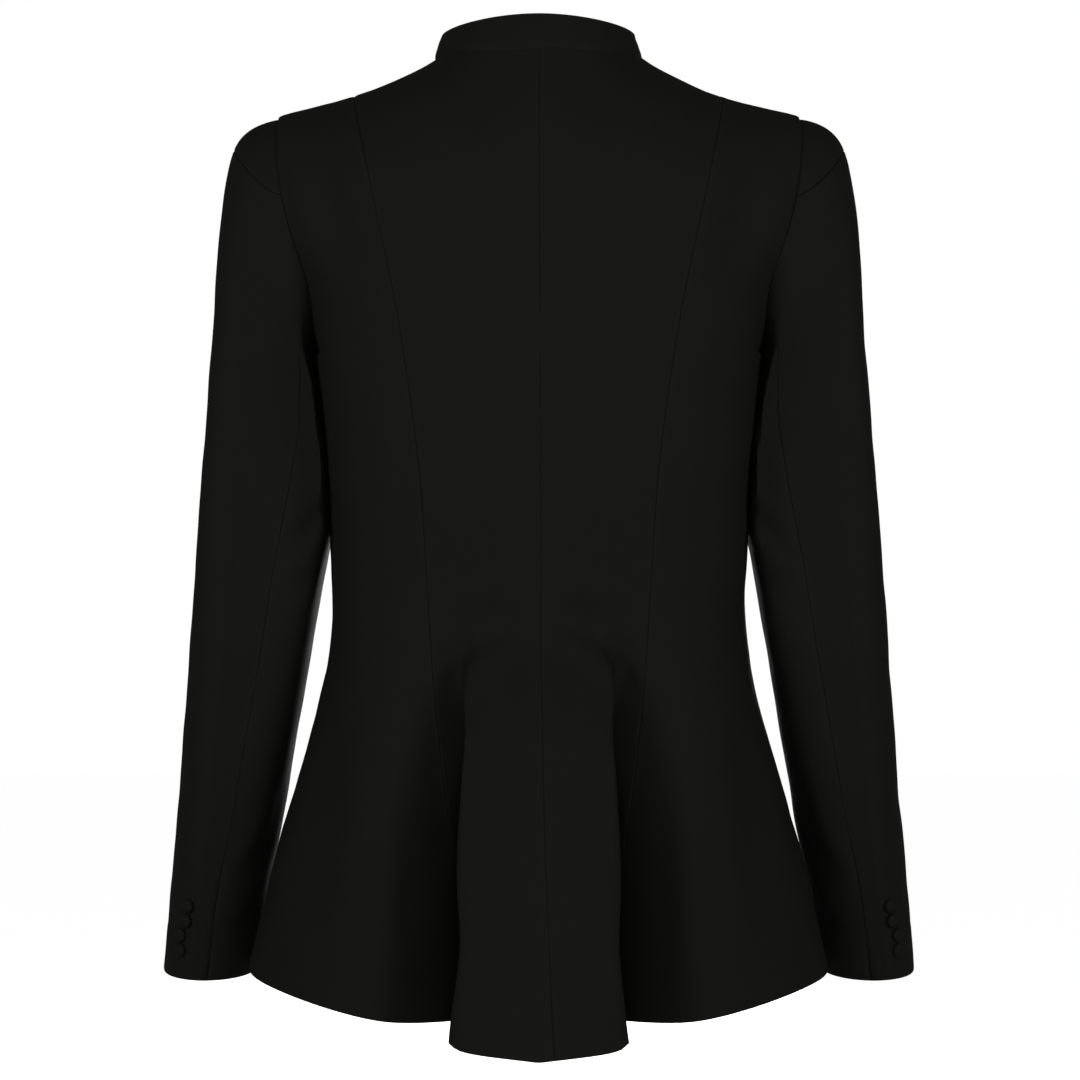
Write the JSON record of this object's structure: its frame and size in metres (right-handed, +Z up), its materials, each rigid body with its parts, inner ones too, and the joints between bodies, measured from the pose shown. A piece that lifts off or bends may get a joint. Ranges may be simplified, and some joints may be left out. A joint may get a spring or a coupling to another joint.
{
  "type": "tailored jacket",
  "caption": "Fitted jacket in dark suiting with a stand collar, squared sleeve heads, shoulder princess seams and a deep fold at the back below the waist.",
  "frame": {"origin": "middle of the neck, level with the points where the shoulder seams meet the collar, where the wearer's neck and shoulders hold the jacket", "axes": "+Z up, the front faces -Y, +X to the wearer's left"},
  "size_m": [0.5256, 0.346, 0.6876],
  "materials": {
    "suiting": "matte fine woven suiting",
    "collar_suiting": "matte fine woven suiting, stiffened",
    "covered_button": "suiting stretched over a button mould"
  },
  "bodies": {
    "root": {"centre_back_left": "suiting", "centre_back_right": "suiting", "side_back_left": "suiting", "side_back_right": "suiting", "side_front_left": "suiting", "side_front_right": "suiting", "front_left": "suiting", "front_right": "suiting", "collar": "collar_suiting", "sleeve_cap_left": "suiting", "sleeve_cap_right": "suiting", "top_sleeve_left": "suiting", "top_sleeve_right": "suiting", "under_sleeve_left": "suiting", "under_sleeve_right": "suiting", "cuff_button_left_1": "covered_button", "cuff_button_left_2": "covered_button", "cuff_button_left_3": "covered_button", "cuff_button_left_4": "covered_button", "cuff_button_right_1": "covered_button", "cuff_button_right_2": "covered_button", "cuff_button_right_3": "covered_button", "cuff_button_right_4": "covered_button"}
  },
  "joints": []
}
